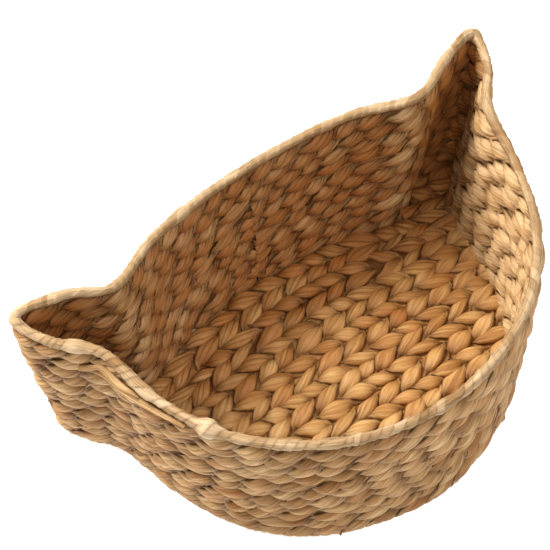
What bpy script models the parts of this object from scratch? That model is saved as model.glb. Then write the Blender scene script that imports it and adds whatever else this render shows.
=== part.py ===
"""Cat-head pet bed basket, woven in twined courses over a steel wire frame.

Metres, +Z up. The floor of the basket lies on z = 0, the two ears point to
the back corners (+Y) and the round chin is the front (-Y).
"""
import bmesh
import bpy
import numpy as np

# --- driving dimensions ------------------------------------------------------
WALL_THICK = 0.013         # a twined wall course, through both strands
FLOOR_THICK = 0.0135       # a floor course, thicker and plumper
GAP = 0.0003               # clearance between neighbouring pieces
STAKE_R = 0.0015           # upright and floor stake wire
HOOP_R = 0.0020            # rim hoop wire
BASE_HOOP_R = 0.0015       # hoop at the foot of the wall
COURSE_GAP = 0.0008        # between one wall course and the next
HOOP_GAP = 0.0014          # between that hoop and the wall
BINDING_R = 0.0052         # wrapped leaf round the rim hoop
HOLE = 0.0018              # half width of the passage a stake runs through
WALL_COURSES = 11
FLOOR_COURSES = 9
RIM_GAP = 0.0008           # between the top course and the rim binding
FLOOR_INSET = 0.0125       # floor edge, measured inwards from the wall's middle
STAKE_X = (-0.186, -0.124, -0.062, 0.0, 0.062, 0.124, 0.186)

# Half outline from the middle of the back, round one ear, to the chin.
# Outer edge of the lowest course (x, y), and the rim hoop's centre (x, y, z).
FOOT = ((0.000, 0.1543), (0.098, 0.1437), (0.172, 0.1249), (0.217, 0.1532),
        (0.243, 0.1532), (0.258, 0.1482), (0.2665, 0.1367), (0.2660, 0.1207),
        (0.2545, 0.0997), (0.2335, 0.0701), (0.213, -0.0119), (0.180, -0.0803),
        (0.128, -0.1289), (0.066, -0.1566), (0.000, -0.1686))
RIM = ((0.000, 0.1627, 0.200), (0.120, 0.1473, 0.207), (0.187, 0.1176, 0.219),
       (0.226, 0.1295, 0.232), (0.252, 0.1390, 0.229), (0.268, 0.1447, 0.226),
       (0.2785, 0.1432, 0.223), (0.2785, 0.1327, 0.221), (0.264, 0.1029, 0.219),
       (0.2335, 0.0677, 0.217), (0.219, 0.0090, 0.203), (0.190, -0.0556, 0.198),
       (0.145, -0.1048, 0.199), (0.085, -0.1398, 0.199), (0.000, -0.1566, 0.200))
# The same places in both lists: back, ear notch, ear tip, front notch, chin.
LANDMARKS = (0, 2, 6, 9, 14)
# Stakes per stretch between those places, and steps per stake.
STRETCH_STAKES = (3, 2, 2, 5)
STRETCH_STEPS = (3, 3, 3, 2)

COLOURS = {
    "wall_hyacinth": ((0.62, 0.45, 0.27, 1), 0.75, 0.0),
    "floor_hyacinth": ((0.55, 0.36, 0.17, 1), 0.70, 0.0),
    "rim_leaf": ((0.74, 0.58, 0.38, 1), 0.65, 0.0),
    "steel_wire": ((0.42, 0.41, 0.40, 1), 0.45, 1.0),
}


# --- curves ------------------------------------------------------------------
def smooth_curve(points, steps=24):
    """Centripetal Catmull-Rom curve through a half outline mirrored in x."""
    half = np.array(points, float)
    mirrored = half[1:-1][::-1].copy()
    mirrored[:, 0] *= -1
    ring = np.vstack([half, mirrored])
    count = len(ring)
    out = []
    for i in range(len(half) - 1):
        p = [ring[(i + j) % count] for j in (-1, 0, 1, 2)]
        t = np.cumsum([0] + [np.linalg.norm(p[j + 1] - p[j]) ** 0.5 for j in range(3)])
        u = np.linspace(t[1], t[2], steps, endpoint=False)[:, None]
        a = [(t[j + 1] - u) / (t[j + 1] - t[j]) * p[j]
             + (u - t[j]) / (t[j + 1] - t[j]) * p[j + 1] for j in range(3)]
        b = [(t[j + 2] - u) / (t[j + 2] - t[j]) * a[j]
             + (u - t[j]) / (t[j + 2] - t[j]) * a[j + 1] for j in range(2)]
        out.append((t[2] - u) / (t[2] - t[1]) * b[0] + (u - t[1]) / (t[2] - t[1]) * b[1])
    out.append(half[-1:])
    return np.vstack(out), steps


def at_stretch(points, where):
    """Points on a half outline at (stretch + fraction) values, even along each stretch."""
    line, steps = smooth_curve(points)
    length = np.concatenate([[0], np.cumsum(np.linalg.norm(np.diff(line[:, :2], axis=0), axis=1))])
    ends = length[np.array(LANDMARKS) * steps]
    target = np.interp(where, range(len(ends)), ends)
    return np.column_stack([np.interp(target, length, line[:, k]) for k in range(line.shape[1])])


def full_ring(half):
    """The half mirrored in x and joined on, in order round the basket."""
    other = half[1:-1][::-1].copy()
    other[:, 0] *= -1
    return np.vstack([half, other])


def outward(points, where):
    """Unit outward normals, in plan, of a half outline at these places."""
    where = np.asarray(where, float)
    end = len(STRETCH_STAKES)
    along = (at_stretch(points, np.minimum(where + 0.02, end))
             - at_stretch(points, np.maximum(where - 0.02, 0)))[:, :2]
    along[(where == 0) | (where == end), 1] = 0
    normal = np.column_stack([-along[:, 1], along[:, 0]])
    return normal / np.linalg.norm(normal, axis=1)[:, None]


def wall_rings(where):
    """(foot, rim, outward normals) of the wall's middle surface at these places."""
    foot = at_stretch(FOOT, where) - outward(FOOT, where) * WALL_THICK / 2
    rim = at_stretch(RIM, where)
    return full_ring(foot), full_ring(rim), full_ring(outward(RIM, where))


def wall_point(foot, rim, share):
    """Point on the wall's middle surface, share 0 at the floor and 1 under the rim."""
    top = rim[..., 2] - BINDING_R - RIM_GAP
    plan = foot + (rim[..., :2] - foot) * (share * top / rim[..., 2])[..., None]
    return np.concatenate([plan, (share * top)[..., None]], axis=-1)


def stake_places():
    """Stretch values of the uprights on one half, both ends included."""
    spans = [i + np.arange(n) / n for i, n in enumerate(STRETCH_STAKES)]
    return np.concatenate(spans + [[float(len(spans))]])


def plain_places():
    """Stretch values of the stakes and of the even steps between them."""
    spans = [i + np.arange(n * s) / (n * s)
             for i, (n, s) in enumerate(zip(STRETCH_STAKES, STRETCH_STEPS))]
    return np.concatenate(spans + [[float(len(spans))]])


# --- mesh helpers ------------------------------------------------------------
def add_object(name, points, faces, colour):
    """Mesh object with outward faces and its own plain material."""
    mesh = bpy.data.meshes.new(name)
    mesh.from_pydata([tuple(map(float, p)) for p in points], [], faces)
    body = bmesh.new()
    body.from_mesh(mesh)
    bmesh.ops.recalc_face_normals(body, faces=body.faces)
    body.to_mesh(mesh)
    body.free()
    base, roughness, metallic = COLOURS[colour]
    material = bpy.data.materials.new(name)
    material.use_nodes = True
    shader = material.node_tree.nodes["Principled BSDF"]
    shader.inputs["Base Color"].default_value = base
    shader.inputs["Roughness"].default_value = roughness
    shader.inputs["Metallic"].default_value = metallic
    mesh.materials.append(material)
    obj = bpy.data.objects.new(name, mesh)
    bpy.context.scene.collection.objects.link(obj)
    return obj


def ladder(name, stations, colour, ring):
    """A course with a passage at each stake.

    A station is an array rails x 2 x 3: two rails where the course is whole,
    four at either end of a passage. Rails run across the thickness, and the
    pair of points on each is the course's lower and upper (or near and far)
    side.
    """
    points = []
    index = []
    for rails in stations:
        index.append(len(points) + np.arange(len(rails) * 2).reshape(-1, 2))
        points.extend(rails.reshape(-1, 3))
    faces = []
    count = len(stations)
    opened = False
    for i in range(count if ring else count - 1):
        a, b = index[i], index[(i + 1) % count]
        passage = len(a) == 4 and len(b) == 4 and not opened
        for side in (0, 1):
            if passage:
                faces.append([a[0][side], a[1][side], b[1][side], b[0][side]])
                faces.append([a[2][side], a[3][side], b[3][side], b[2][side]])
            else:
                faces.append([r[side] for r in a] + [r[side] for r in b[::-1]])
        for rail in (range(4) if passage else (0, -1)):
            faces.append([a[rail][0], b[rail][0], b[rail][1], a[rail][1]])
        if passage:
            for end in (a, b):
                faces.append([end[1][0], end[2][0], end[2][1], end[1][1]])
        opened = passage
    if not ring:
        for end in (index[0], index[-1]):
            faces.append([end[0][0], end[-1][0], end[-1][1], end[0][1]])
    faces = [[int(v) for v in f] for f in faces]
    return add_object(name, points, faces, colour)


def sweep_ring(name, centres, normals, section, colour):
    """A closed section (outward, up) carried round a closed line."""
    section = np.array(section)
    count, sides = len(centres), len(section)
    points = (centres[:, None]
              + normals[:, None, :] * section[None, :, :1]
              + np.array([0, 0, 1.0]) * section[None, :, 1:])
    faces = [[i * sides + j, i * sides + (j + 1) % sides,
              (i + 1) % count * sides + (j + 1) % sides, (i + 1) % count * sides + j]
             for i in range(count) for j in range(sides)]
    return add_object(name, points.reshape(-1, 3), faces, colour)


def rod(name, start, end, radius, colour, sides=6):
    """A straight wire between two points."""
    start, end = np.array(start, float), np.array(end, float)
    along = (end - start) / np.linalg.norm(end - start)
    across = np.cross(along, (1.0, 0, 0) if abs(along[0]) < 0.9 else (0, 1.0, 0))
    across /= np.linalg.norm(across)
    other = np.cross(along, across)
    turn = np.arange(sides) * 2 * np.pi / sides
    circle = radius * (np.cos(turn)[:, None] * across + np.sin(turn)[:, None] * other)
    faces = [list(range(sides)), list(range(sides, 2 * sides))]
    faces += [[j, (j + 1) % sides, sides + (j + 1) % sides, sides + j] for j in range(sides)]
    return add_object(name, np.vstack([start + circle, end + circle]), faces, colour)


def polygon(radius, sides, turn=0.0):
    """Regular section of a wire."""
    a = turn + np.arange(sides) * 2 * np.pi / sides
    return np.column_stack([np.cos(a), np.sin(a)]) * radius


# --- wall --------------------------------------------------------------------
def wall_stations():
    """(foot, rim, normals, open) of every station of a wall course.

    A stake has two stations, one at each end of its passage, and open is true
    for those.
    """
    foot, rim, normal = wall_rings(plain_places())
    half_open = []
    for n, s in zip(STRETCH_STAKES, STRETCH_STEPS):
        half_open += ([True] + [False] * (s - 1)) * n
    half_open.append(True)
    opened = half_open + half_open[1:-1][::-1]
    rows = []
    for f, r, n, is_open in zip(foot, rim, normal, opened):
        if not is_open:
            rows.append((f, r, n, False))
            continue
        along = np.array([n[1], -n[0]]) * HOLE
        lift = np.append(along, 0.0)
        rows += [(f - along, r - lift, n, True), (f + along, r + lift, n, True)]
    return rows


def wall_course(number, rows):
    """One closed twined course, between its lower and upper share of the wall."""
    low = (number - 1) / WALL_COURSES
    high = number / WALL_COURSES
    stations = []
    for foot, rim, normal, is_open in rows:
        base = wall_point(foot, rim, np.float64(low))
        top = wall_point(foot, rim, np.float64(high)) - np.array([0, 0, COURSE_GAP])
        half = WALL_THICK / 2
        offsets = (-half, -HOLE, HOLE, half) if is_open else (-half, half)
        n = np.append(normal, 0.0)
        stations.append(np.array([[base + n * o, top + n * o] for o in offsets]))
    ladder(f"wall_course_{number:02d}", stations, "wall_hyacinth", True)


def upright(number, foot, rim):
    """A straight stake from the floor to just under the rim binding."""
    start = wall_point(foot, rim, np.float64(0.005))
    end = wall_point(foot, rim, np.float64(1.0))
    rod(f"upright_{number:02d}", start, end, STAKE_R, "steel_wire")


# --- rim and foot hoops ------------------------------------------------------
def flat_normals(normals):
    return np.column_stack([normals, np.zeros(len(normals))])


def rim_hoop(rim, normals):
    sweep_ring("rim_hoop", rim, flat_normals(normals), polygon(HOOP_R, 6), "steel_wire")


def rim_binding(rim, normals):
    """Leaf wrapped round the rim hoop, open along a fine seam underneath."""
    seam = 0.09
    outer = -np.pi / 2 + seam + np.arange(8) / 7 * (2 * np.pi - 2 * seam)
    inner = -np.pi / 2 + seam * 2 + np.arange(7) / 6 * (2 * np.pi - 4 * seam)
    ring = np.column_stack([np.cos(outer), np.sin(outer)]) * BINDING_R
    core = np.column_stack([np.cos(inner), np.sin(inner)]) * (HOOP_R + 0.0007)
    sweep_ring("rim_binding", rim, flat_normals(normals),
               np.vstack([ring, core[::-1]]), "rim_leaf")


def base_hoop(foot, normals):
    """Wire in the corner between the wall and the floor."""
    inset = WALL_THICK / 2 + HOOP_GAP + BASE_HOOP_R
    ring = foot - normals * inset
    centres = np.column_stack([ring, np.full(len(ring), FLOOR_THICK / 2)])
    sweep_ring("base_hoop", centres, flat_normals(normals),
               polygon(BASE_HOOP_R, 6), "steel_wire")


# --- floor -------------------------------------------------------------------
def floor_outline():
    """Edge of the woven floor, inside the foot hoop."""
    where = np.linspace(0, len(STRETCH_STAKES), 201)
    inset = WALL_THICK / 2 + FLOOR_INSET
    return full_ring(at_stretch(FOOT, where) - outward(FOOT, where) * inset)


def course_edge(number, x, outline):
    """y of the edge behind floor course number + 1: bowed like the back wall, then straight."""
    notch = 0.163
    back = outline[(outline[:, 1] > 0.09) & (outline[:, 0] >= 0) & (outline[:, 0] < notch)]
    order = np.argsort(back[:, 0])
    depth = np.interp(np.abs(x), back[order, 0], back[0, 1] - back[order, 1])
    depth = depth + 0.24 * np.maximum(np.abs(x) - notch, 0.0)
    share = number / FLOOR_COURSES
    front = outline[:, 1].min() + 0.005
    return back[0, 1] + (front - back[0, 1]) * share - max(0.0, 1 - share / 0.6) * depth


def edge_end(number, outline):
    """x where that edge meets the floor's outline, on the +X side."""
    right = outline[outline[:, 0] >= 0]
    above = right[:, 1] - course_edge(number, right[:, 0], outline)
    cross = np.nonzero((above[:-1] > 0) != (above[1:] > 0))[0]
    i = cross[-1]
    share = above[i] / (above[i] - above[i + 1])
    return right[i, 0] + share * (right[i + 1, 0] - right[i, 0])


def stakes_through(number, outline):
    """x of the stakes that floor course number is woven round."""
    reach = min(edge_end(number - 1, outline), edge_end(number, outline)) - 0.004
    return [x for x in STAKE_X if abs(x) < reach]


def floor_course(number, outline):
    """One straight or gently bowed course across the floor, a pair of twined rows."""
    ends = [edge_end(number - 1, outline), edge_end(number, outline)]
    stakes = stakes_through(number, outline)
    levels = (0.0, FLOOR_THICK / 2 - HOLE, FLOOR_THICK / 2 + HOLE, FLOOR_THICK)

    def station(xs, heights):
        sides = []
        for x, edge, push in ((xs[1], number, GAP / 2), (xs[0], number - 1, -GAP / 2)):
            sides.append([x, float(course_edge(edge, np.float64(x), outline)) + push])
        return np.array([[[*s, z] for s in sides] for z in heights])

    whole = (levels[0], levels[3])
    stations = [station((-ends[0], -ends[1]), whole)]
    for x in stakes:
        stations += [station((x - HOLE, x - HOLE), levels), station((x + HOLE, x + HOLE), levels)]
    stations.append(station((ends[0], ends[1]), whole))
    ladder(f"floor_course_{number}", stations, "floor_hyacinth", False)


def floor_stake(number, x, outline):
    """Straight wire through every floor course that reaches this far out."""
    last = max(n for n in range(1, FLOOR_COURSES + 1) if x in stakes_through(n, outline))
    y_front = float(course_edge(last, np.float64(x), outline)) + 0.001
    y_back = float(course_edge(0, np.float64(x), outline)) - 0.001
    z = FLOOR_THICK / 2
    rod(f"floor_stake_{number}", (x, y_front, z), (x, y_back, z), STAKE_R, "steel_wire")


def ear_floor(side, outline):
    """The short courses that fill the floor of one ear, behind the first long course."""
    right = outline[outline[:, 0] > 0.168]
    limit = course_edge(0, right[:, 0], outline) + 0.0025
    kept = right[right[:, 1] > limit][::3]
    x = np.linspace(kept[-1, 0] - 0.0015, kept[0, 0], 4)
    edge = np.column_stack([x, course_edge(0, x, outline) + 0.0012])
    plan = np.vstack([kept, edge])
    plan = plan.mean(axis=0) + (plan - plan.mean(axis=0)) * 0.94
    plan[:, 0] *= side
    count = len(plan)
    points = [(*p, z) for z in (0.0, FLOOR_THICK) for p in plan]
    faces = [list(range(count)), list(range(count, 2 * count))]
    faces += [[i, (i + 1) % count, count + (i + 1) % count, count + i] for i in range(count)]
    name = "ear_floor_right" if side > 0 else "ear_floor_left"
    add_object(name, points, faces, "floor_hyacinth")


def build():
    for obj in list(bpy.data.objects):
        bpy.data.objects.remove(obj)
    rows = wall_stations()
    for number in range(1, WALL_COURSES + 1):
        wall_course(number, rows)
    foot, rim, _ = wall_rings(stake_places())
    for number, (f, r) in enumerate(zip(foot, rim), 1):
        upright(number, f, r)
    foot, rim, normals = wall_rings(plain_places())
    rim_hoop(rim, normals)
    rim_binding(rim, normals)
    base_hoop(foot, normals)
    outline = floor_outline()
    for number in range(1, FLOOR_COURSES + 1):
        floor_course(number, outline)
    for number, x in enumerate(STAKE_X, 1):
        floor_stake(number, x, outline)
    for side in (-1, 1):
        ear_floor(side, outline)


build()
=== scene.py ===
# %% [markdown]
# # A cat-head pet bed basket in twined water hyacinth
# The real basket is woven by hand: two soft dried strands at a time are twisted round wire stakes, row after
# row, first across the floor and then round the walls, and a pale leaf is wound over the rim. Each woven row
# is modelled as what it is, two strands twisted round each other, so the cells, gaps and shadows come by
# themselves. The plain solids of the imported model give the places; this script gives the looks.

import bpy
import numpy as np
from mathutils import Matrix


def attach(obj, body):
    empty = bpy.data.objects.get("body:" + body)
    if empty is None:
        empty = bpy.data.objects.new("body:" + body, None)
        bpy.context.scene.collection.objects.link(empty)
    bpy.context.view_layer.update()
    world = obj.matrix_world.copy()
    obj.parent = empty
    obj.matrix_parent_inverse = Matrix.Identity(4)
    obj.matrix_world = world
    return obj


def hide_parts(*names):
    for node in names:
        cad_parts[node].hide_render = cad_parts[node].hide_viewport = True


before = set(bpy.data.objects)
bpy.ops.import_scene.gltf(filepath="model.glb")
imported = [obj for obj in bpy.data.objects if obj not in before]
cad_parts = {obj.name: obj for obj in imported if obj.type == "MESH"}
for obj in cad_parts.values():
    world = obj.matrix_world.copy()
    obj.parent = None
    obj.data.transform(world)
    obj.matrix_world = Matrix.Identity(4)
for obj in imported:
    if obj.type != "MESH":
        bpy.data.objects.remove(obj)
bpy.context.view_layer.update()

# %% [markdown]
# ## The outline
# The head shape is one curve for the foot of the wall and one for the rim. A Bezier curve object could hold
# them, but numbers and a Catmull-Rom curve let every later piece ask for a point at any place, so that is the
# way used here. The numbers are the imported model's own.

# %% Outline of one half, from the middle of the back to the chin
FOOT = np.array([
    (0.000, 0.1543), (0.098, 0.1437), (0.172, 0.1249), (0.217, 0.1532),
    (0.243, 0.1532), (0.258, 0.1482), (0.2665, 0.1367), (0.2660, 0.1207),
    (0.2545, 0.0997), (0.2335, 0.0701), (0.213, -0.0119), (0.180, -0.0803),
    (0.128, -0.1289), (0.066, -0.1566), (0.000, -0.1686)])
RIM = np.array([
    (0.000, 0.1627, 0.200), (0.120, 0.1473, 0.207), (0.187, 0.1176, 0.219),
    (0.226, 0.1295, 0.232), (0.252, 0.1390, 0.229), (0.268, 0.1447, 0.226),
    (0.2785, 0.1432, 0.223), (0.2785, 0.1327, 0.221), (0.264, 0.1029, 0.219),
    (0.2335, 0.0677, 0.217), (0.219, 0.0090, 0.203), (0.190, -0.0556, 0.198),
    (0.145, -0.1048, 0.199), (0.085, -0.1398, 0.199), (0.000, -0.1566, 0.200)])
LANDMARKS = np.array([0, 2, 6, 9, 14])   # back, ear notch, ear tip, front notch, chin
WALL_THICK = 0.013
BINDING_R = 0.0052
WALL_COURSES = 11
FLOOR_ROWS = 18


def half_curve(points, steps=24):
    """Centripetal Catmull-Rom curve through the points, mirrored in x beyond both ends."""
    flip = np.ones(points.shape[1])
    flip[0] = -1
    p = np.vstack([points[1] * flip, points, points[-2] * flip])
    p0, p1, p2, p3 = p[:-3, None], p[1:-2, None], p[2:-1, None], p[3:, None]
    knot = np.cumsum([np.zeros(len(p1))] + [
        np.linalg.norm(b - a, axis=2)[:, 0] ** 0.5
        for a, b in ((p0, p1), (p1, p2), (p2, p3))], axis=0)[:, :, None, None]
    t0, t1, t2, t3 = knot
    t = t1 + (t2 - t1) * (np.arange(steps) / steps)[None, :, None]
    a1 = (t1 - t) / (t1 - t0) * p0 + (t - t0) / (t1 - t0) * p1
    a2 = (t2 - t) / (t2 - t1) * p1 + (t - t1) / (t2 - t1) * p2
    a3 = (t3 - t) / (t3 - t2) * p2 + (t - t2) / (t3 - t2) * p3
    b1 = (t2 - t) / (t2 - t0) * a1 + (t - t0) / (t2 - t0) * a2
    b2 = (t3 - t) / (t3 - t1) * a2 + (t - t1) / (t3 - t1) * a3
    line = (t2 - t) / (t2 - t1) * b1 + (t - t1) / (t2 - t1) * b2
    return np.vstack([line.reshape(-1, points.shape[1]), points[-1:]])


def along_half(points, where):
    """Points at stretch values 0 to 4, spaced evenly along each stretch between two landmarks."""
    line = half_curve(points)
    length = np.append(0, np.cumsum(np.linalg.norm(np.diff(line[:, :2], axis=0), axis=1)))
    target = np.interp(where, np.arange(5), length[LANDMARKS * 24])
    return np.column_stack([np.interp(target, length, line[:, k]) for k in range(line.shape[1])])


def along_ring(points, q):
    """The same all the way round: q runs 0 to 8, and 4 to 8 is the mirrored half."""
    q = np.mod(q, 8.0)
    found = along_half(points, np.where(q <= 4, q, 8 - q))
    found[:, 0] *= np.where(q <= 4, 1, -1)
    return found


def ring_normal(points, q):
    """Outward normal in plan: the tangent turned a quarter turn to the left."""
    along = (along_ring(points, q + 0.02) - along_ring(points, q - 0.02))[:, :2]
    normal = np.column_stack([-along[:, 1], along[:, 0]])
    return normal / np.linalg.norm(normal, axis=1)[:, None]


def wall_middle(q, share):
    """Point of the wall's middle surface: foot to rim in a straight line, share 0 to 1."""
    foot = along_ring(FOOT, q) - ring_normal(FOOT, q) * WALL_THICK / 2
    rim = along_ring(RIM, q)
    height = share * (rim[:, 2] - BINDING_R - 0.0008)
    plan = foot + (rim[:, :2] - foot) * (height / rim[:, 2])[:, None]
    return np.column_stack([plan, height])


print("rim", np.round(along_ring(RIM, np.arange(8)), 3).tolist())

# %% [markdown]
# ## From grids to meshes
# Every strand is a grid: rings along its length, points round its section. Whole arrays go into the mesh at
# once. A UV map in metres (along, around) lets the fibres of the material follow the strand, and a colour
# attribute carries the tone of each cell, painted shade where it lies deep in a crevice, and how brown it is.

# %% Mesh helpers
def grid_faces(rings, sides, closed):
    """Four corners (ring, side) for each face of a tube grid, as flat arrays."""
    i = np.arange(rings if closed else rings - 1)
    j = np.arange(sides)
    i, j = [a.ravel() for a in np.meshgrid(i, j, indexing="ij")]
    ring = np.stack([i, i + 1, i + 1, i], axis=1)
    side = np.stack([j, j, j + 1, j + 1], axis=1)
    return ring, side


def tube_part(points, along, around, tint, closed):
    """One tube as (vertices, face corners, UVs of the corners, tint of the vertices).

    The index of a corner is ring times sides plus side, both taken modulo their counts.
    """
    rings, sides = points.shape[:2]
    ring, side = grid_faces(rings, sides, closed)
    corners = (ring % rings) * sides + side % sides
    u = along[np.minimum(ring, len(along) - 1)]
    v = around[side]
    return points.reshape(-1, 3), corners, np.stack([u, v], axis=-1), tint.reshape(-1, 3)


def signed_volume(points, quads):
    """Sum over the faces of a corner dotted with the cross product of its diagonals, over six."""
    a, b, c, d = [points[quads[:, k]] for k in range(4)]
    return float((np.cross(b - a, c - a) * a).sum() + (np.cross(c - a, d - a) * a).sum()) / 6


def add_piece(name, parts, material, replaces=()):
    """One mesh object made of tubes; each is turned outward, and an open one is capped."""
    points, loops, sizes, uvs, tints = [], [], [], [], []
    start = 0
    for (vertices, quads, uv, tint), closed, sides in parts:
        if signed_volume(vertices, quads) < 0:
            quads, uv = quads[:, ::-1], uv[:, ::-1]
            flip = True
        else:
            flip = False
        points.append(vertices)
        tints.append(tint)
        loops.append((quads + start).ravel())
        sizes.append(np.full(len(quads), 4))
        uvs.append(uv.reshape(-1, 2))
        if not closed:
            first = np.arange(sides)
            last = len(vertices) - sides + first
            for cap in ((first[::-1], last) if not flip else (first, last[::-1])):
                loops.append(cap + start)
                sizes.append(np.array([sides]))
                uvs.append(np.zeros((sides, 2)))
        start += len(vertices)
    points, loops, sizes = np.vstack(points), np.concatenate(loops), np.concatenate(sizes)
    mesh = bpy.data.meshes.new(name)
    mesh.vertices.add(len(points))
    mesh.vertices.foreach_set("co", points.astype(np.float32).ravel())
    mesh.loops.add(len(loops))
    mesh.loops.foreach_set("vertex_index", loops.astype(np.int32))
    mesh.polygons.add(len(sizes))
    mesh.polygons.foreach_set("loop_start", (np.cumsum(sizes) - sizes).astype(np.int32))
    mesh.update(calc_edges=True)
    layer = mesh.uv_layers.new(name="strand")
    layer.data.foreach_set("uv", np.vstack(uvs).astype(np.float32).ravel())
    colour = mesh.color_attributes.new(name="tint", type="FLOAT_COLOR", domain="POINT")
    rgba = np.column_stack([np.vstack(tints), np.ones(len(points))])
    colour.data.foreach_set("color", rgba.astype(np.float32).ravel())
    mesh.polygons.foreach_set("use_smooth", np.ones(len(sizes), bool))
    mesh.materials.append(material)
    mesh.validate()
    piece = bpy.data.objects.new(name, mesh)
    bpy.context.scene.collection.objects.link(piece)
    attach(piece, "root")
    if replaces:
        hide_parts(*replaces)
    return piece


def unit(v):
    """Vectors scaled to length one."""
    return v / np.linalg.norm(v, axis=-1, keepdims=True)


def wander(rng, x, spacing, closed=False):
    """Smooth random curve: a normal value at every spacing, eased from one to the next."""
    span = x[-1] - x[0] + (x[1] - x[0] if closed else 0)
    count = max(3, int(round(span / spacing)))
    value = rng.standard_normal(count + (0 if closed else 2))
    place = (x - x[0]) / span * count
    low = np.floor(place).astype(int)
    share = place - low
    share = share * share * (3 - 2 * share)
    return value[low % len(value)] * (1 - share) + value[(low + 1) % len(value)] * share


# %% [markdown]
# ## One woven row
# A twined row is two strands turning round each other. Seen from one side it is a line of slanting leaf
# shapes, one for each half turn. A curve with a bevel could make round strands, but each real one is a
# dried leaf folded lengthwise into a few plies, wide and plump where it lies on top and pinched where it
# dives, so the section is worked out ring by ring, with the fold lines running along the mesh's own edges.

# %% Sizes of the strands
# In metres: wide and high are half sizes, out and side the reach outwards and along the wall, droop how far
# a leaf hangs below its row where it lies outermost, step and ridge the heights of its folds.
# As shares: dwell is how long a strand stays on top, square how flat its way over is, lean how far its lower
# edge stands out, pinch how much it narrows at a crossing, round how arched its section is, and crease how
# much painted shade darkens its fold lines and under side.
STRAND = {
    "floor": dict(wide=0.0096, high=0.0045, out=0.0028, side=0.0042, droop=0.0, step=0.0002, ridge=0.0003,
                  dwell=0.15, square=1.3, lean=0.0, pinch=0.38, round=0.30, crease=0.30, plies=3),
    "wall": dict(wide=0.0088, high=0.0041, out=0.0034, side=0.0038, droop=0.0024, step=0.0009, ridge=0.0004,
                 dwell=0.08, square=1.1, lean=0.11, pinch=0.25, round=0.75, crease=0.50, plies=4),
}
PER_PLY = 5      # points across the outer side of each ply
UNDER = 4        # points across the hidden under side


def folded_section(s, size, cell, rng, closed):
    """The outer side of a strand's section, ply by ply, then its hidden under side.

    Across x runs -1 to 1. The fold lines between plies wander in x along the strand. Height is the
    crown (1 - |x|^2.6)^0.5 times the half height, plus a small arch on each ply and a tilt that makes
    each ply overlap the next; the under side is a shallow arc. Also gives tone and crease values; a
    crease value of 1 marks the fold lines and the under side, where shade is painted.
    """
    plies, rows = size["plies"], len(s)

    def each_ply(spacing):
        """A wandering value along every ply, shaped rings by plies by 1."""
        return np.stack([wander(rng, s, spacing, closed) for _ in range(plies)], 1)[..., None]

    def by_ring(values):
        """Plies and points joined into one row for each ring."""
        return values.reshape(rows, -1)

    lines = np.tile(-1 + 2 * np.arange(plies + 1) / plies, (rows, 1))
    for k in range(1, plies):
        stray = 0.30 / plies * 1.3 * wander(rng, s, cell * 1.1, closed)
        lines[:, k] += np.clip(stray, -0.8 / plies, 0.8 / plies)
    f = np.linspace(0.01, 0.99, PER_PLY)[None, None]
    x = lines[:, :-1, None] + (lines[:, 1:] - lines[:, :-1])[..., None] * f
    arch = 0.6 + 0.5 * np.abs(each_ply(cell))
    tilt = 0.8 + 0.6 * each_ply(cell * 1.5)
    crown = np.clip(1 - np.abs(x) ** 2.6, 0, 1) ** 0.5
    detail = size["ridge"] * arch * 4 * f * (1 - f) - size["step"] * tilt * (f - 0.5)
    tone = 0.13 * each_ply(cell * 1.3) + 0 * f
    # Crease values: 1 at each ply's edges and on the under side, where shade is painted.
    crease = np.broadcast_to((np.abs(f - 0.5) > 0.45) * 1.0, x.shape)
    under = np.linspace(1, -1, UNDER + 2)[1:-1]
    x_all = np.hstack([by_ring(x), np.tile(under, (rows, 1))])
    crown_all = np.hstack([by_ring(crown), np.tile(-0.45 * (1 - under ** 2), (rows, 1))])
    detail_all = np.hstack([by_ring(detail * (0.25 + 0.75 * crown)), np.zeros((rows, UNDER))])
    tone_all = np.hstack([by_ring(tone), np.zeros((rows, UNDER))])
    crease_all = np.hstack([by_ring(crease), np.ones((rows, UNDER))])
    return x_all, crown_all, detail_all, tone_all, crease_all


def on_ground(points):
    """Heights under low are eased so that they never go below zero: low times e to the (z / low - 1)."""
    low = 0.0012
    z = points[..., 2]
    points[..., 2] = np.where(z < low, low * np.exp(np.minimum(z / low - 1, 0)), z)
    return points


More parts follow.
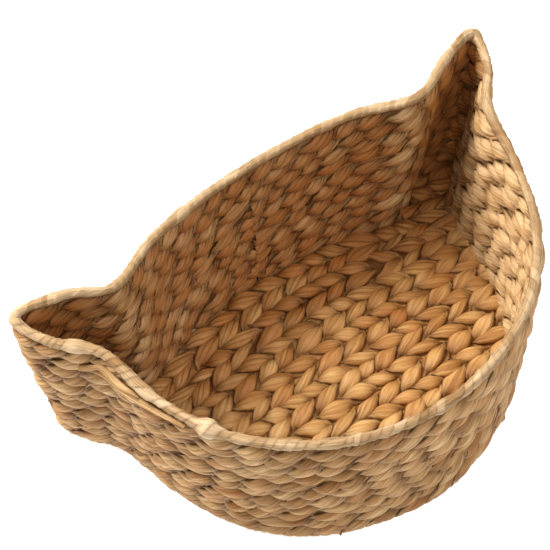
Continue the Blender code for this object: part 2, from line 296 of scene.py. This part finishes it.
# %% Two strands twined along a path
def twine(path, normal, up, turn0, kind, rng, closed=False, cell=0.030, scale=1.0, loose=1.0,
          browns_and_shade=(0.0, 0.0), pales_and_light=(0.0, 0.0), weak=()):
    """The two strands of one row.

    Each strand's middle goes round the row's path: outwards by out times a squared-off cosine of its
    turn, sideways by side times the sine less droop times the cosine squared. Its folded section lies
    across that line, with its height less round times x squared, and then shears outwards at its lower
    edge by lean times the distance below the path. browns and pales are how much browner and paler the
    leaf is where it lies outside, and where it lies inside; the callers use them for the leaf's own tone
    and for painted light and shade by place. The colour also gets painted shade where the strand dives,
    on its fold lines, at its tucked edges and on its under side. weak lists places along the row, each
    with its reach, where the strands are narrower by a share.
    """
    size = STRAND[kind]
    s = np.append(0, np.cumsum(np.linalg.norm(np.diff(path, axis=0), axis=1)))
    length = s[-1] + (np.linalg.norm(path[0] - path[-1]) if closed else 0)
    shared = 0.42 * loose * wander(rng, s, cell * 1.6, closed)
    parts = []
    for which in (0, 1):
        turn = turn0 + which * np.pi + shared + 0.12 * loose * wander(rng, s, cell, closed)
        turn = turn - size["dwell"] * np.sin(2 * turn) / 2
        c, d = np.cos(turn), np.sin(turn)
        top = c * c
        c_out = np.tanh(size["square"] * c) / np.tanh(size["square"])
        wide = size["wide"] * scale * (1 - size["pinch"] * (1 - top)) * (
            1 + 0.13 * loose * wander(rng, s, cell, closed))
        high = size["high"] * (0.80 + 0.22 * top) * (1 + 0.12 * loose * wander(rng, s, cell, closed))
        lift = 0.0005 * loose * wander(rng, s, cell, closed)
        for place, reach, share in weak:
            wide = wide * (1 - share * np.exp(-((s - place) / reach) ** 2))
        middle = (path + normal * (size["out"] * c_out + lift * c)[:, None]
                  + up * (size["side"] * d - size["droop"] * (top - 0.5)
                          + 0.0006 * loose * wander(rng, s, cell, closed))[:, None])
        if closed:
            tangent = unit(np.roll(middle, -1, axis=0) - np.roll(middle, 1, axis=0))
        else:
            tangent = unit(np.gradient(middle, axis=0))
        flat = np.tanh(2.2 * c) / np.tanh(2.2)
        face = normal * (1.6 * size["side"] * flat)[:, None] + up * (size["out"] * d)[:, None]
        face = unit(face - tangent * (face * tangent).sum(1)[:, None])
        across = np.cross(tangent, face)
        x, crown, detail, tone, crease = folded_section(s, size, cell, rng, closed)
        sides = x.shape[1]
        height = high[:, None] * (crown - size["round"] * x ** 2) + detail
        points = (middle[:, None] + across[:, None] * (x * wide[:, None])[..., None]
                  + face[:, None] * height[..., None])
        beside = ((points - path[:, None]) * up[:, None]).sum(-1)
        points = points - normal[:, None] * (size["lean"] * beside * c[:, None])[..., None]
        points = on_ground(points)
        outer = np.clip(0.5 + 0.8 * c, 0, 1)
        brown, pale = [a * outer + b * (1 - outer) for a, b in (browns_and_shade, pales_and_light)]
        tone = np.clip(0.5 + tone + (pale + 0.15 * wander(rng, s, cell * 0.9, closed))[:, None], 0, 1)
        # Painted shade: darker where the strand dives, on its fold lines, at its tucked edges and on its under
        # side.
        edge = np.abs(x) ** 6
        crevice_shade = np.clip((1 - top)[:, None] ** 1.5 * 0.75 + size["crease"] * crease + 0.5 * edge, 0, 1.3)
        warm = (brown + 0.20 * wander(rng, s, cell * 1.7, closed))[:, None] + 0 * x
        along = np.append(s, length) + rng.uniform(0, 5)
        plies = size["plies"]
        f = np.linspace(0.01, 0.99, PER_PLY)
        over = ((np.arange(plies)[:, None] + f) / plies).ravel() * 2 * size["wide"]
        below = 2 * size["wide"] * (1 + np.arange(1, UNDER + 2) / (UNDER + 1))
        around = np.concatenate([over, below]) + rng.uniform(0, 3)
        tint = np.stack([tone, crevice_shade, warm], axis=-1)
        parts.append((tube_part(points, along, around, tint, closed), closed, sides))
    return parts


# %% Core leaf
# The packing is given a low tone and painted shade, for the dark of the gaps it is seen through.
PACKING = (0.35, 0.45, 0.25)   # tone, depth and brownness of the packing between the strands
CORE_SIDES = 8


def core_leaf(path, across, face, half_wide, half_high, closed, tint=PACKING):
    """A flat leaf laid straight along a path: an ellipse of these half sizes carried along it.

    It runs inside the work, where the real one has its stakes and leaf ends, so that no light comes
    through the crossings.
    """
    angle = -np.pi / 2 + 2 * np.pi * np.arange(CORE_SIDES) / CORE_SIDES
    half_wide = half_wide + np.zeros(len(path))
    points = (path[:, None] + across[:, None] * (half_wide[:, None] * np.cos(angle))[..., None]
              + face[:, None] * (half_high * np.sin(angle))[None, :, None])
    s = np.append(0, np.cumsum(np.linalg.norm(np.diff(path, axis=0), axis=1)))
    tint = np.broadcast_to(np.array(tint), (len(path), CORE_SIDES, 3))
    around = np.arange(CORE_SIDES + 1) / CORE_SIDES * 4 * half_wide.mean()
    along = np.append(s, s[-1] + 0.002)
    return tube_part(on_ground(points), along, around, tint, closed), closed, CORE_SIDES


# %% [markdown]
# ## Materials
# Dried water hyacinth is a satin, slightly waxy leaf: golden tan, with fine fibres and crease lines along
# it, orange-brown patches and a few dark specks. The fibres are stretched noise on the strand's own UV map;
# a crease line is where that noise passes its middle value, which gives thin lines that run along the leaf
# and never cross. Image textures would need files; noise needs none and has no seams.

# %% Node helpers
def node(tree, kind, inputs=(), **settings):
    """A shader node with its settings, and its inputs set or linked by name or number."""
    made = tree.nodes.new(kind)
    for key, value in settings.items():
        setattr(made, key, value)
    for key, value in dict(inputs).items():
        if isinstance(value, bpy.types.NodeSocket):
            tree.links.new(value, made.inputs[key])
        else:
            made.inputs[key].default_value = value
    return made


def ramp(tree, factor, stops):
    """A colour ramp with these (position, colour) stops."""
    made = node(tree, "ShaderNodeValToRGB", {0: factor})
    elements = made.color_ramp.elements
    while len(elements) < len(stops):
        elements.new(0.5)
    for element, (place, colour) in zip(elements, stops):
        element.position = place
        element.color = (*colour, 1)
    return made.outputs[0]


def mixed(tree, factor, first, second, blend="MIX"):
    """Colour mix of two colours or sockets."""
    made = node(tree, "ShaderNodeMix", data_type="RGBA", blend_type=blend)
    for key, value in ((0, factor), (6, first), (7, second)):
        if isinstance(value, bpy.types.NodeSocket):
            tree.links.new(value, made.inputs[key])
        elif key == 0:
            made.inputs[key].default_value = value
        else:
            made.inputs[key].default_value = (*value, 1)
    return made.outputs[2]


def maths(tree, operation, a, b=0.0, clamp=False):
    """One sum of two values or sockets."""
    made = node(tree, "ShaderNodeMath", {0: a, 1: b}, operation=operation)
    made.use_clamp = clamp
    return made.outputs[0]


def spread(tree, lowest, value, amount):
    """lowest plus (value less a half) times amount."""
    return maths(tree, "ADD", lowest, maths(tree, "MULTIPLY", maths(tree, "SUBTRACT", value, 0.5), amount))


def fibre_noise(tree, uv, along, across, detail=2.0, roughness=0.55):
    """Noise stretched along the strand: few features per metre along it, many across."""
    scaled = node(tree, "ShaderNodeMapping", {"Vector": uv, "Scale": (along, across, 1.0)})
    return node(tree, "ShaderNodeTexNoise",
                {"Vector": scaled.outputs[0], "Scale": 1.0, "Detail": detail, "Roughness": roughness},
                noise_dimensions="2D").outputs["Fac"]


def crease_lines(tree, noise, thin):
    """0 on the line where the noise passes a half, rising to 1 within thin on either side."""
    away = maths(tree, "ABSOLUTE", maths(tree, "SUBTRACT", noise, 0.5))
    return maths(tree, "DIVIDE", away, thin, clamp=True)


# %% Dried leaf
CREVICE = 0.56       # share of the light lost where the depth value is 1
BROWN_MOST = 0.85    # share of brown where a patch is fully brown
CLOUDS = 1.9         # how strongly the cloudy noise makes patches
SPECK = (0.09, 0.04, 0.015)


def dried_leaf(name, light, middle, dark, brown, roughness, bump, strength, wide_lines=230.0, fine_lines=620.0):
    """Tone by cell and ply, fibres and crease lines along the strand, patches, specks and crevices.

    The colour runs from dark through middle to light with the tone, goes towards brown in patches, and is
    multiplied by the lines (strength is how dark they are) and by painted shade: one less CREVICE times the
    crevice value of the colour attribute, turned warmer as it deepens. bump is the height of the fibres in
    metres; wide_lines and fine_lines are how many of them cross a metre.
    """
    material = bpy.data.materials.new(name)
    material.use_nodes = True
    tree = material.node_tree
    shader = tree.nodes["Principled BSDF"]
    uv = node(tree, "ShaderNodeUVMap", uv_map="strand").outputs[0]
    place = node(tree, "ShaderNodeTexCoord").outputs["Object"]
    tint = node(tree, "ShaderNodeVertexColor", layer_name="tint").outputs[0]
    tone, crevice_shade, patch = node(tree, "ShaderNodeSeparateColor", {0: tint}).outputs
    fine = fibre_noise(tree, uv, 26.0, 1500.0)
    folds = fibre_noise(tree, uv, 14.0, wide_lines)
    threads = fibre_noise(tree, uv, 20.0, fine_lines)
    cloudy = node(tree, "ShaderNodeTexNoise",
                  {"Vector": place, "Scale": 34.0, "Detail": 3.0, "Roughness": 0.6}).outputs["Fac"]
    level = spread(tree, spread(tree, tone, folds, 0.9), fine, 0.5)
    colour = ramp(tree, level, [(0.10, dark), (0.5, middle), (0.90, light)])
    warm = maths(tree, "ADD", patch, maths(tree, "MULTIPLY", maths(tree, "SUBTRACT", cloudy, 0.55), CLOUDS),
                 clamp=True)
    colour = mixed(tree, maths(tree, "MULTIPLY", warm, BROWN_MOST), colour, brown)
    specks = node(tree, "ShaderNodeTexNoise",
                  {"Vector": place, "Scale": 420.0, "Detail": 1.0}).outputs["Fac"]
    specks = ramp(tree, specks, [(0.70, (0, 0, 0)), (0.78, (1, 1, 1))])
    colour = mixed(tree, maths(tree, "MULTIPLY", specks, 0.5), colour, SPECK)
    big = crease_lines(tree, folds, 0.045)
    small = crease_lines(tree, threads, 0.060)
    lines = maths(tree, "MULTIPLY", spread(tree, 1 - strength, big, 2 * strength),
                  spread(tree, 1 - 0.6 * strength, small, 1.2 * strength))
    # Painted shade: darker where the crevice value is high, and warmer through the grey below.
    shade = maths(tree, "MULTIPLY", lines, maths(tree, "SUBTRACT", 1.0, maths(tree, "MULTIPLY", crevice_shade, CREVICE)))
    grey = node(tree, "ShaderNodeCombineColor", {
        0: maths(tree, "POWER", shade, 0.85), 1: shade, 2: maths(tree, "POWER", shade, 1.2)}).outputs[0]
    colour = mixed(tree, 1.0, colour, grey, "MULTIPLY")
    tree.links.new(colour, shader.inputs["Base Color"])
    shader.inputs["Roughness"].default_value = roughness
    shader.inputs["Specular IOR Level"].default_value = 0.30
    height = maths(tree, "ADD", maths(tree, "MULTIPLY", lines, 0.6), maths(tree, "MULTIPLY", fine, 0.4))
    relief = node(tree, "ShaderNodeBump", {"Height": height, "Distance": bump, "Strength": 0.8})
    tree.links.new(relief.outputs[0], shader.inputs["Normal"])
    return material


WALL_LEAF = dried_leaf("wall_hyacinth", (0.70, 0.47, 0.24), (0.545, 0.325, 0.135), (0.33, 0.16, 0.050),
                       (0.44, 0.165, 0.036), 0.60, 0.0009, 0.14)
FLOOR_STEM = dried_leaf("floor_hyacinth", (0.74, 0.46, 0.19), (0.61, 0.335, 0.115), (0.40, 0.18, 0.048),
                        (0.48, 0.165, 0.034), 0.50, 0.0008, 0.10)
RIM_LEAF = dried_leaf("rim_leaf", (0.58, 0.42, 0.25), (0.41, 0.265, 0.13), (0.28, 0.155, 0.06),
                      (0.38, 0.20, 0.075), 0.60, 0.0006, 0.17, 150.0, 500.0)
print("materials", [m.name for m in bpy.data.materials])

# %% [markdown]
# ## Walls
# Eleven rows go round and round on the uprights. They are worked in one direction, so every leaf shape
# leans the same way, and each row's lower edge stands a little proud of the row below, like shingles. Each
# row is half a cell further round than the one below it, because the uprights take turns. Light and shade
# are painted into the leaf by the place q round the ring: painted shade makes it browner and darker inside
# the back wall and in the ears, and painted light makes it paler on the inside of the face, at the ears'
# inner folds and left of the back. One row has two thin places at the front, where a strand was joined.

# %% Weave the walls
CELLS_ROUND = 47                               # leaf shapes in one row, once round
LOWEST_SHARE, HIGHEST_SHARE = 0.066, 0.955     # heights of the first and last row, as shares of the wall
RING_STEP = 0.0022
USUAL_PITCH = 0.0178                           # row pitch at which the strands have the sizes above
GAP_COURSE, GAPS = 7, (4.13, 4.28)             # a row with two thin places at the front


def even_ring(share, wobble):
    """The row's path round the wall, resampled to even steps, with its outward and upward directions."""
    q = np.linspace(0, 8, 1601)[:-1]
    line = wall_middle(q, share + wobble(q))
    s = np.append(0, np.cumsum(np.linalg.norm(np.diff(np.vstack([line, line[:1]]), axis=0), axis=1)))
    count = int(round(s[-1] / RING_STEP))
    q_even = np.interp(np.arange(count) / count * s[-1], s, np.append(q, 8.0))
    path = wall_middle(q_even, share + wobble(q_even))
    above = wall_middle(q_even, np.full(count, share + 0.05))
    below = wall_middle(q_even, np.full(count, share - 0.05))
    up = unit(above - below)
    tangent = unit(np.roll(path, -3, axis=0) - np.roll(path, 3, axis=0))
    normal = unit(np.cross(up, tangent))
    pitch = np.linalg.norm(above - below, axis=1) * 10 / WALL_COURSES
    return path, normal, np.cross(tangent, normal), q_even, pitch


def waver(rng):
    """A gentle wave round the ring: five whole-number sines of random size and place."""
    size, place = rng.normal(0, 0.0050, 5), rng.uniform(0, 6.28, 5)
    return lambda q: sum(a * np.sin((k + 2) * np.pi / 4 * q + f) / (k + 1) ** 0.5
                         for k, (a, f) in enumerate(zip(size, place)))


for number in range(1, WALL_COURSES + 1):
    rng = np.random.default_rng(100 + number)
    share = LOWEST_SHARE + (HIGHEST_SHARE - LOWEST_SHARE) * (number - 1) / (WALL_COURSES - 1)
    path, normal, up, q, pitch = even_ring(share, waver(rng))
    turn = -np.pi * CELLS_ROUND * np.arange(len(path)) / len(path) + number * np.pi / 2 + rng.normal(0, 0.3)
    # Where the row is: along the back, left of the back, in an ear, at an ear's inner fold; light and shade are
    # painted by these places.
    back = np.clip(2.7 - np.minimum(q, 8 - q), 0, 1)
    back = back * back * (3 - 2 * back)
    left_back = np.exp(-(((q - 7.45) / 0.35) ** 2))
    ear = 1.5 * np.exp(-(((q - 2) / 0.50) ** 2)) + 0.8 * np.exp(-(((q - 6) / 0.55) ** 2))
    notch = np.exp(-(((np.minimum(q, 8 - q) - 1.0) / 0.12) ** 2))
    step = np.linalg.norm(path[1] - path[0])
    weak = [(np.argmin(np.abs(q - at)) * step, 0.0065, 0.50) for at in GAPS if number == GAP_COURSE]
    # Painted shade makes the inside of the back and the ears browner; painted light makes the inside of the face
    # paler.
    parts = twine(path, normal, up, turn, "wall", rng, closed=True, scale=pitch / USUAL_PITCH, loose=1.15,
                  browns_and_shade=(0.12, 1.15 * back - 0.25 + 0.5 * ear - 0.5 * notch),
                  pales_and_light=(-0.06, 0.38 - 0.40 * back - 0.45 * ear + 0.30 * notch + 0.25 * left_back),
                  weak=weak)
    parts.append(core_leaf(path[::2], up[::2], normal[::2], 0.76 * pitch[::2], 0.0016, True))
    name = f"wall_course_{number:02d}"
    piece = add_piece(f"woven_{name}", parts, WALL_LEAF, [name])
print("wall row", len(path), "rings, outward check", round(float((normal[:, :2] * path[:, :2]).sum()), 3),
      "faces", len(piece.data.polygons), "pitch", pitch.min(), pitch.max())

# %% [markdown]
# ## Floor
# The floor is worked back and forth, so neighbouring rows twist opposite ways and their leaf shapes meet in
# chevrons, like knitting. The strands are plumper here. The rows bow with the back wall and straighten
# towards the chin; each packed floor course stands for two rows. Painted shade, for the back wall's shadow,
# makes the rows browner and darker towards the back; painted light makes the left paler and the right
# darker, and the rows in the ears get painted shade.

# %% Weave the floor
FLOOR_CELL = 0.0305       # length of one leaf shape
FLOOR_STEP = 0.0021
ROW_HEIGHT = 0.0074       # middle of the strands above the ground


def inset_foot(inset):
    """The foot outline moved inwards, as points in plan."""
    q = np.linspace(0, 8, 801)[:-1]
    return along_ring(FOOT, q) - ring_normal(FOOT, q) * inset


EDGE = inset_foot(0.0135)
ENDS = inset_foot(0.0095)


def inside(x, y, outline):
    """True where a level line to the right of the point crosses the outline an odd number of times."""
    a, b = outline, np.roll(outline, -1, axis=0)
    over = (a[None, :, 1] > y[:, None]) != (b[None, :, 1] > y[:, None])
    slope = (b[:, 0] - a[:, 0]) / np.where(b[:, 1] == a[:, 1], 1e-9, b[:, 1] - a[:, 1])
    cross = a[None, :, 0] + (y[:, None] - a[None, :, 1]) * slope[None]
    return (over & (cross > x[:, None])).sum(1) % 2 == 1


def row_line(row, x):
    """y of a floor row: bowed like the back wall at the back, straight from the middle forwards."""
    notch = 0.163
    back = EDGE[(EDGE[:, 1] > 0.09) & (EDGE[:, 0] >= 0) & (EDGE[:, 0] < notch)]
    back = back[np.argsort(back[:, 0])]
    sag = np.interp(np.abs(x), back[:, 0], back[0, 1] - back[:, 1])
    sag = sag + 0.24 * np.maximum(np.abs(x) - notch, 0)
    share = (row + 0.5) / FLOOR_ROWS
    front = EDGE[:, 1].min() + 0.001
    return back[0, 1] + (front - back[0, 1]) * share - max(0.0, min(1.0, 1 - share / 0.6)) * sag


GAP_X, GAP_HALF = 0.116, 0.019          # a dark slot where two rows have been pushed apart
SPREAD = {2: 0.0026, 3: -0.0044}        # how far each of the two has moved
# Painted shade on the packing seen through the slot: very dark, deep and brown.
SLOT_SHADE = (0.05, 1.2, 0.9)


def floor_row(row, rng, near=0.0, dim=0.0):
    """The two strands and the packing of one floor row, between the walls on either side of x = near.

    The path is the row's line with a small wander; the turn is pi times x over the length of a leaf shape,
    to the left in even rows and to the right in odd ones. dim is painted shade that darkens the whole row.
    """
    x = np.arange(-0.285, 0.285, 0.0005)
    ok = inside(x, row_line(row, x), ENDS)
    start = np.argmin(np.abs(x - near))
    if not ok[start]:
        return []
    low = start - np.argmin(np.append(ok[:start + 1][::-1], False)) + 1
    high = start + np.argmin(np.append(ok[start:], False)) - 1
    x = np.linspace(x[low], x[high], max(8, int((x[high] - x[low]) / FLOOR_STEP)))
    if len(x) < 10:
        return []
    y = row_line(row, x) + 0.0011 * wander(rng, x, 0.05)
    z = ROW_HEIGHT + 0.0003 * wander(rng, x, 0.05)
    path = np.column_stack([x, y, z])
    tangent = unit(np.gradient(path, axis=0))
    normal = np.tile((0.0, 0.0, 1.0), (len(x), 1))
    up = unit(np.cross(normal, tangent))
    twist = -1 if row % 2 == 0 else 1
    turn = twist * np.pi * x / FLOOR_CELL + rng.normal(0, 0.25)
    # Painted shadow of the back wall: browner and darker towards the back, a little more on the left.
    shade = np.clip(0.5 + (y + 0.05 * np.maximum(-x, 0) - 0.035) / 0.12, 0, 1)
    weak = [(GAP_X - x[0], GAP_HALF, 0.24)] if row in SPREAD else []
    apart = path.copy()
    apart[:, 1] += SPREAD.get(row, 0.0) * np.exp(-((x - GAP_X) / GAP_HALF) ** 2)
    # Painted light and shade: paler to the left, darker to the right, under the back wall's shadow and by dim.
    pale = -0.02 - 0.10 * shade - dim - 1.2 * np.clip(x, -0.16, 0.08)
    strands = twine(apart, normal, up, turn, "floor", rng, loose=1.3, browns_and_shade=(0.62 * shade - 0.08, 0.2),
                    pales_and_light=(pale, -dim), weak=weak)
    packing = core_leaf(path[::2], up[::2], normal[::2], 0.0105, 0.0013, False,
                        tint=SLOT_SHADE if row in SPREAD else PACKING)
    return strands + [packing]


for course in range(1, FLOOR_ROWS // 2 + 1):
    rng = np.random.default_rng(300 + course)
    parts = floor_row(2 * course - 2, rng) + floor_row(2 * course - 1, rng)
    piece = add_piece(f"woven_floor_course_{course}", parts, FLOOR_STEM,
                      [f"floor_course_{course}"])
for side, label in ((-1, "left"), (1, "right")):
    rng = np.random.default_rng(401 + side)
    # The rows in the ears get painted shade through dim, for their dark hollows.
    parts = [part for row, near in ((-1, 0.225), (-2, 0.240), (-3, 0.240))
             for part in floor_row(row, rng, side * near, dim=0.30)]
    add_piece(f"woven_ear_floor_{label}", parts, FLOOR_STEM, [f"ear_floor_{label}"])
    print("ear rows", label, len(parts))

# %% [markdown]
# ## Foot
# Where the uprights turn round the base wire, the strands stand in short steep stubs under the first row.
# They are wound like the rim, but thick and rounded, with a groove between each stub and the next; painted shade
# darkens each groove and the ridge beside it.

# %% Wind the foot
def winding(line, out, radius, starts, pitch, rng, puff=0.0, lap=0.0, sides=28, lumps=(),
            tone_spread=0.13, slack=0.35):
    """A strip wound round a closed line: a tube whose surface carries a helix of laps.

    The helix phase is starts times the angle over a full turn, plus the way along over the pitch, plus
    slack times a wander. Within one lap the radius swells by puff times an arch, and falls off by lap from
    its lapping edge. Each lump (share of the length, height, reach) adds a bell curve and a fresh pale tone.
    """
    s = np.append(0, np.cumsum(np.linalg.norm(np.diff(line, axis=0), axis=1)))
    length = s[-1] + np.linalg.norm(line[0] - line[-1])
    tangent = unit(np.roll(line, -3, axis=0) - np.roll(line, 3, axis=0))
    out = unit(out - tangent * (out * tangent).sum(1)[:, None])
    up = np.cross(tangent, out)
    angle = -np.pi / 2 + 2 * np.pi * np.arange(sides) / sides
    laps = int(round(length / pitch))
    phase = s / length * laps + slack * wander(rng, s, pitch * 2.2, True)
    turn = phase[:, None] + starts * angle[None] / (2 * np.pi)
    share = turn - np.floor(turn)
    size = (radius * (1 + 0.09 * wander(rng, s, 0.012, True)))[:, None]
    size = size + puff * (4 * share * (1 - share)) ** 0.6
    size = size + lap * (1 - share) ** 1.3 * np.minimum(1, share / 0.05)
    for waves, amount in ((4, 0.00014), (7, 0.00012)):
        size = size + amount * np.cos(2 * np.pi * waves * share + waves)
    fresh = 0
    for place, amount, reach in lumps:
        gap = np.abs(s - place * length)
        bump = np.exp(-(gap / reach) ** 2)[:, None]
        size = size + amount * bump
        fresh = fresh + 130 * amount * bump
    section = out[:, None] * np.cos(angle)[None, :, None] + up[:, None] * np.sin(angle)[None, :, None]
    points = on_ground(line[:, None] + section * size[..., None])
    lap_tone = rng.normal(0.55, tone_spread, laps + 8)
    tone = np.clip(lap_tone[np.floor(turn).astype(int) % len(lap_tone)] + fresh, 0, 1)
    # Painted shade: darker in the groove where each lap starts, and at its ridge where the laps are puffed.
    groove, ridge = np.exp(-share / 0.06), np.exp(-(1 - share) / 0.06)
    crevice_shade = np.clip(groove + ridge if puff else 0.55 * groove, 0, 1.2)
    warm = 0.12 * wander(rng, s, 0.05, True)[:, None] + 0 * angle[None]
    tint = np.stack([tone, crevice_shade, warm], axis=-1)
    along = np.append(s, length)
    around = np.arange(sides + 1) / sides * 0.033
    return tube_part(points, along, around, tint, True), True, sides


def even_q(points, step):
    """The values of q (0 to 8) at even steps round a closed line whose points have even values of q."""
    q = np.linspace(0, 8, len(points) + 1)
    s = np.append(0, np.cumsum(np.linalg.norm(np.diff(np.vstack([points, points[:1]]), axis=0), axis=1)))
    count = int(round(s[-1] / step))
    return np.interp(np.arange(count) / count * s[-1], s, q)


ALL_Q = np.linspace(0, 8, 3201)[:-1]
STUB_R, STUB_PITCH = 0.0040, 0.0105
foot_q = even_q(along_ring(FOOT, ALL_Q), 0.0014)
foot_out = np.column_stack([ring_normal(FOOT, foot_q), np.zeros(len(foot_q))])
foot_line = np.column_stack([along_ring(FOOT, foot_q), np.full(len(foot_q), 0.0049)]) - foot_out * 0.0052
foot = winding(foot_line, foot_out, STUB_R, 1, STUB_PITCH, np.random.default_rng(5), puff=0.0012, sides=20)
# The seam leaf at the foot of the wall carries the packing's painted shade.
seam_line = foot_line[::3] - foot_out[::3] * 0.0078
seam_line[:, 2] = 0.0062
straight_up = np.tile((0.0, 0.0, 1.0), (len(seam_line), 1))
seam = core_leaf(seam_line, foot_out[::3], straight_up, 0.0045, 0.0020, True)
foot_piece = add_piece("wound_foot_edge", [foot, seam], WALL_LEAF)
print("foot faces", len(foot_piece.data.polygons))

# %% [markdown]
# ## Loose strands
# Under the rim at the left cheek two strands have come away from the wall and run along just below the
# binding. They are one more twined row each, thin, with long leaf shapes, on an open path.

# %% Lay the loose strands
# First and last q, height as a share of the wall, how far it stands off (metres), and its size.
LOOSE = ((4.72, 5.18, 0.950, 0.0052, 0.40), (4.86, 5.26, 0.930, 0.0056, 0.34))
loose_rng = np.random.default_rng(11)
loose_parts = []
for first, last, share, stand, size in LOOSE:
    q = np.linspace(first, last, 160)
    way = (q - first) / (last - first)
    out = np.column_stack([ring_normal(RIM, q), np.zeros(len(q))])
    off_wall = stand - 0.0012 * np.cos(2 * np.pi * way)
    path = wall_middle(q, share + 0.035 * np.cos(np.pi * way)) + out * off_wall[:, None]
    path[:, 2] = np.minimum(path[:, 2], along_ring(RIM, q)[:, 2] - 0.002)
    over = np.tile((0.0, 0.0, 1.0), (len(q), 1))
    taper = 0.35 + 0.65 * np.sin(np.pi * way) ** 0.5
    loose_parts += twine(path, out, over, loose_rng.uniform(0, 3), "wall", loose_rng, cell=0.075,
                         scale=size * taper, browns_and_shade=(-0.25, -0.25))
loose_piece = add_piece("loose_leaf_ends", loose_parts, WALL_LEAF)
print("loose strand faces", len(loose_piece.data.polygons))

# %% [markdown]
# ## Rim
# A flat pale leaf is wound round the rim wire, each turn lapping over the last. The wound strip is one tube
# whose radius steps up by a leaf's thickness at every lap, with a few lumps where a new leaf is started.
# Painted shade darkens the groove at the edge of each lap.

# %% Wind the rim
RIM_R, RIM_PITCH = 0.0046, 0.0115
# Share of the way round from the middle of the back, height and reach (metres).
LUMPS = ((0.6587, 0.0048, 0.0085), (0.199, 0.0018, 0.011), (0.5107, 0.0016, 0.008),
         (0.7564, 0.0016, 0.009), (0.7092, 0.0010, 0.012), (0.941, 0.0012, 0.012),
         (0.2625, 0.0012, 0.010), (0.10, 0.0010, 0.010))
rim_q = even_q(along_ring(RIM, ALL_Q), 0.0011)
rim_out = np.column_stack([ring_normal(RIM, rim_q), np.zeros(len(rim_q))])
rim = winding(along_ring(RIM, rim_q), rim_out, RIM_R, 2, RIM_PITCH, np.random.default_rng(7), lap=0.0009,
              lumps=LUMPS, slack=0.6, tone_spread=0.16)
binding = add_piece("wound_rim_binding", [rim], RIM_LEAF, ["rim_binding"])
print("rim faces", len(binding.data.polygons))

# %% [markdown]
# ## Wires
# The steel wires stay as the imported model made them. They show only through gaps in the weave.

# %% Finish the wires
def wire_metal():
    """Dull steel with brown spots, by noise on Object coordinates."""
    material = bpy.data.materials.new("dull_wire")
    material.use_nodes = True
    tree = material.node_tree
    shader = tree.nodes["Principled BSDF"]
    place = node(tree, "ShaderNodeTexCoord").outputs["Object"]
    spots = node(tree, "ShaderNodeTexNoise", {"Vector": place, "Scale": 180.0, "Detail": 4.0}).outputs["Fac"]
    colour = ramp(tree, spots, [(0.42, (0.20, 0.17, 0.14)), (0.62, (0.16, 0.075, 0.03))])
    tree.links.new(colour, shader.inputs["Base Color"])
    tree.links.new(ramp(tree, spots, [(0.3, (0.35, 0.35, 0.35)), (0.7, (0.75, 0.75, 0.75))]),
                   shader.inputs["Roughness"])
    shader.inputs["Metallic"].default_value = 0.7
    return material


WIRE = wire_metal()
for name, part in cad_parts.items():
    if name.startswith(("upright", "floor_stake", "base_hoop", "rim_hoop")):
        part.data.materials.clear()
        part.data.materials.append(WIRE)

# %% [markdown]
# ## Floor, light and camera
# A plain pale floor that glows a little, so that it stays white in the shade. The key is a large soft light
# high behind the left ear; a wide weak one hangs above the front, and a small warm one lifts the inside of the
# back and the left from the front right.

# %% Stage
STAGE_HALF = 6


def stage_floor():
    """A wide plain sheet at z = 0."""
    mesh = bpy.data.meshes.new("studio_floor")
    corners = [(x * STAGE_HALF, y * STAGE_HALF, 0) for x, y in ((-1, -1), (1, -1), (1, 1), (-1, 1))]
    mesh.from_pydata(corners, [], [(0, 1, 2, 3)])
    material = bpy.data.materials.new("studio_floor")
    material.use_nodes = True
    shader = material.node_tree.nodes["Principled BSDF"]
    shader.inputs["Base Color"].default_value = (0.90, 0.90, 0.90, 1)
    shader.inputs["Roughness"].default_value = 0.9
    shader.inputs["Emission Color"].default_value = (0.84, 0.93, 1, 1)
    shader.inputs["Emission Strength"].default_value = 0.60
    mesh.materials.append(material)
    sheet = bpy.data.objects.new("studio_floor", mesh)
    bpy.context.scene.collection.objects.link(sheet)


def aim(obj, place, target):
    """Places obj and turns its -Z axis to the target, +Y up."""
    back = unit(np.array(place, float) - np.array(target, float))
    right = unit(np.cross((0, 0, 1.0), back))
    over = np.cross(back, right)
    matrix = np.eye(4)
    matrix[:3, 0], matrix[:3, 1], matrix[:3, 2], matrix[:3, 3] = right, over, back, place
    obj.matrix_world = Matrix(matrix.tolist())


def soft_light(name, place, target, size, power, colour):
    """A square area light, with its side in metres and its power in watts."""
    data = bpy.data.lights.new(name, "AREA")
    data.size = size
    data.energy = power
    data.color = colour
    lamp = bpy.data.objects.new(name, data)
    bpy.context.scene.collection.objects.link(lamp)
    aim(lamp, place, target)


stage_floor()
AZIMUTH, ELEVATION, DISTANCE = np.radians(-37.12), np.radians(58.81), 1.6
BACK = np.array([np.sin(AZIMUTH) * np.cos(ELEVATION), -np.cos(AZIMUTH) * np.cos(ELEVATION),
                 np.sin(ELEVATION)])
TARGET = np.array([-0.0149, 0.0940, 0.1011])
camera = bpy.data.objects.new("camera", bpy.data.cameras.new("camera"))
camera.data.sensor_width = 36.0
camera.data.lens = 101.93
bpy.context.scene.collection.objects.link(camera)
aim(camera, TARGET + BACK * DISTANCE, TARGET)
bpy.context.scene.camera = camera

soft_light("key", (-0.86, 1.60, 2.20), (0.02, -0.02, 0.05), 1.3, 136, (1.0, 0.975, 0.94))
soft_light("top", (-0.5, -1.0, 2.3), (0, 0, 0.1), 1.6, 19, (1.0, 0.99, 0.98))
soft_light("fill", (1.3, -0.9, 1.9), (-0.15, 0.08, 0.05), 0.9, 15, (1.0, 0.96, 0.90))
world = bpy.data.worlds.new("studio")
world.use_nodes = True
world.node_tree.nodes["Background"].inputs[0].default_value = (1.0, 0.93, 0.84, 1)
world.node_tree.nodes["Background"].inputs[1].default_value = 0.34
bpy.context.scene.world = world
bpy.context.scene.view_settings.view_transform = "Standard"
